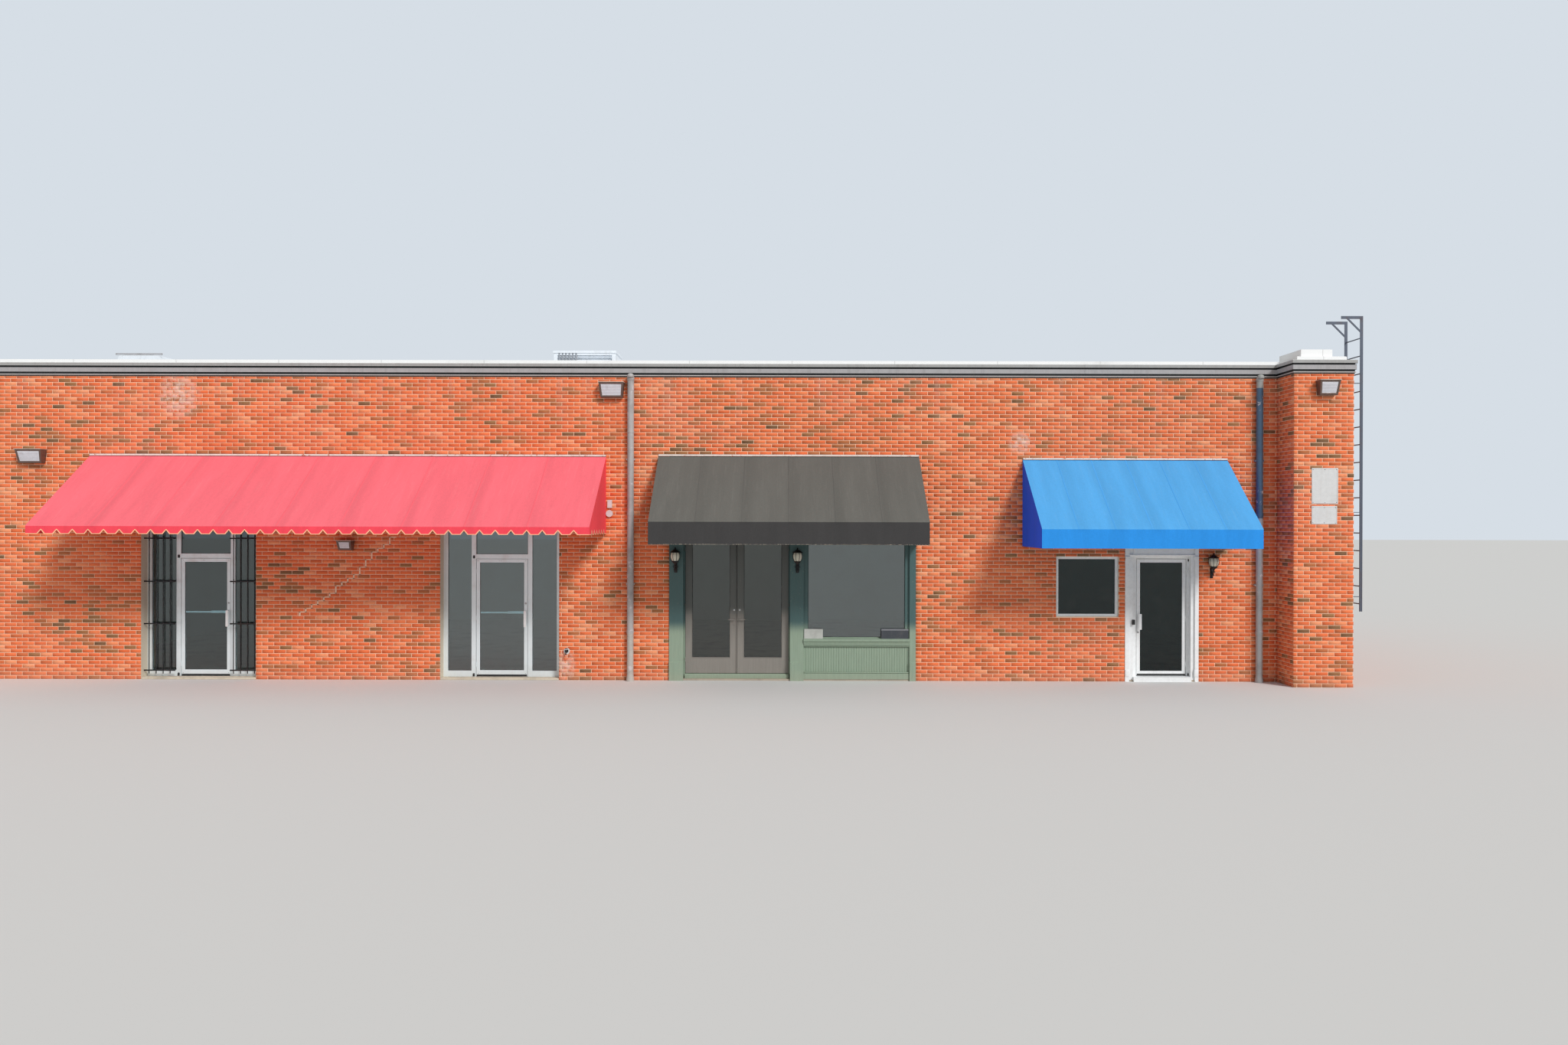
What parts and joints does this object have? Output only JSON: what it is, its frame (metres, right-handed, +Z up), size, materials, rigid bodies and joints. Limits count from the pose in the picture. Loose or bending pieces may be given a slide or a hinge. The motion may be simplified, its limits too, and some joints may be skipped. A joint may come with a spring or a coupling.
{
  "type": "corner shop building",
  "caption": "Single-storey brick shop building with fabric awnings, hinged shop doors, flat roof, roof ladder and a projecting corner pier.",
  "frame": {"origin": "on the ground, under the middle of the floor slab, which is the middle of the plan without the pier", "axes": "+X along the front to the right as seen from outside, +Y from the front into the building, +Z up"},
  "size_m": [24.451, 13.726, 6.6],
  "materials": {
    "brick": "orange-red brick with pale mortar",
    "brick_side": "red brick with pale mortar",
    "concrete": "worn concrete",
    "membrane": "white roof membrane",
    "coping_metal": "weathered grey paint",
    "roof_metal": "pale grey paint",
    "ladder_metal": "dull grey steel",
    "spout_metal": "peeling grey paint",
    "red_cloth": "faded red awning cloth",
    "black_cloth": "faded black awning cloth",
    "blue_cloth": "bright blue awning cloth",
    "awning_tube": "grey steel tube",
    "shopfront_metal": "satin anodised",
    "glass": "clear, dark inside",
    "green_paint": "dark green paint",
    "door_paint": "worn grey-brown paint",
    "white_paint": "white paint",
    "black_iron": "black paint",
    "lamp_metal": "brown paint",
    "fitting_white": "white"
  },
  "bodies": {
    "building": {"floor_slab": "concrete", "front_wall_left": "brick", "front_wall_between_shops": "brick", "front_wall_middle": "brick", "front_wall_window_bay": "brick", "front_wall_right": "brick", "front_wall_upper": "brick", "corner_pier": "brick_side", "side_wall_right": "brick_side", "rear_wall": "brick_side", "party_wall_left": "brick_side", "roof_deck": "membrane", "coping": "coping_metal", "parapet_blocks": "membrane", "roof_unit": "roof_metal", "roof_vent": "roof_metal", "roof_ladder": "ladder_metal", "downspouts": "spout_metal", "red_awning": "red_cloth", "red_awning_frame": "awning_tube", "black_awning": "black_cloth", "black_awning_frame": "awning_tube", "blue_awning": "blue_cloth", "blue_awning_frame": "awning_tube", "shop_a_frame": "shopfront_metal", "shop_b_frame": "shopfront_metal", "fixed_glass": "glass", "timber_front": "green_paint", "door_d_surround": "white_paint", "side_window_frame": "white_paint", "security_grilles": "black_iron", "flood_lamps": "lamp_metal", "porch_lanterns": "black_iron", "wall_fittings": "fitting_white", "sill_boxes": "fitting_white"},
    "door_a": {"door_a_leaf": "shopfront_metal", "door_a_glass": "glass"},
    "door_b": {"door_b_leaf": "shopfront_metal", "door_b_glass": "glass"},
    "door_c_left": {"door_c_left_leaf": "door_paint", "door_c_left_glass": "glass"},
    "door_c_right": {"door_c_right_leaf": "door_paint", "door_c_right_glass": "glass"},
    "door_d": {"door_d_leaf": "white_paint", "door_d_glass": "glass"}
  },
  "joints": [
    {"name": "door_a_hinge", "type": "hinge", "parent": "building", "child": "door_a", "pos_m": [-8.456, -5.808, 0.03], "axis": [0, 0, -1], "range_deg": [0, 90]},
    {"name": "door_b_hinge", "type": "hinge", "parent": "building", "child": "door_b", "pos_m": [-3.164, -5.808, 0.03], "axis": [0, 0, -1], "range_deg": [0, 90]},
    {"name": "door_c_left_hinge", "type": "hinge", "parent": "building", "child": "door_c_left", "pos_m": [0.591, -5.908, 0.03], "axis": [0, 0, -1], "range_deg": [0, 90]},
    {"name": "door_c_right_hinge", "type": "hinge", "parent": "building", "child": "door_c_right", "pos_m": [2.435, -5.908, 0.03], "axis": [0, 0, 1], "range_deg": [0, 90]},
    {"name": "door_d_hinge", "type": "hinge", "parent": "building", "child": "door_d", "pos_m": [9.526, -5.888, 0.03], "axis": [0, 0, 1], "range_deg": [0, 90]}
  ]
}
